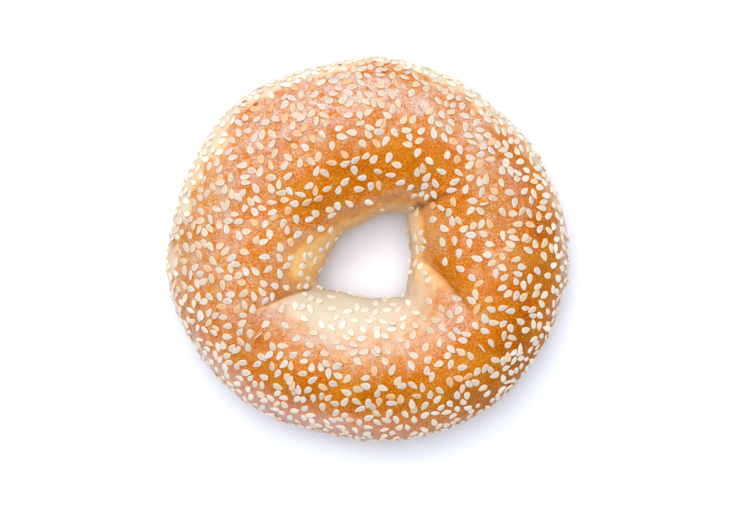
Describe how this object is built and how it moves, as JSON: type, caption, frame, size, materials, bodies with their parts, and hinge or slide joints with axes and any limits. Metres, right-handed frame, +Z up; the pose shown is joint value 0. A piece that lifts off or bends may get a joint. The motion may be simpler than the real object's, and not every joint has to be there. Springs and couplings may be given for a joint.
{
  "type": "bagel",
  "caption": "Ring of baked dough with a flat base, a rounded crown, an uneven hole and three creases where the rope of dough was joined.",
  "frame": {"origin": "on the flat base, under the middle of the bagel's box", "axes": "+X along the longest side of the ring, +Y across it, +Z up from the base to the crown"},
  "size_m": [0.113, 0.1078, 0.0384],
  "materials": {
    "crust": "smooth baked crust, golden brown on the crown and cream towards the hole, with a soft gloss",
    "sesame": "hulled sesame seed, ivory with some toasted golden ones, matt"
  },
  "bodies": {
    "root": {"bagel": "crust"}
  },
  "joints": []
}
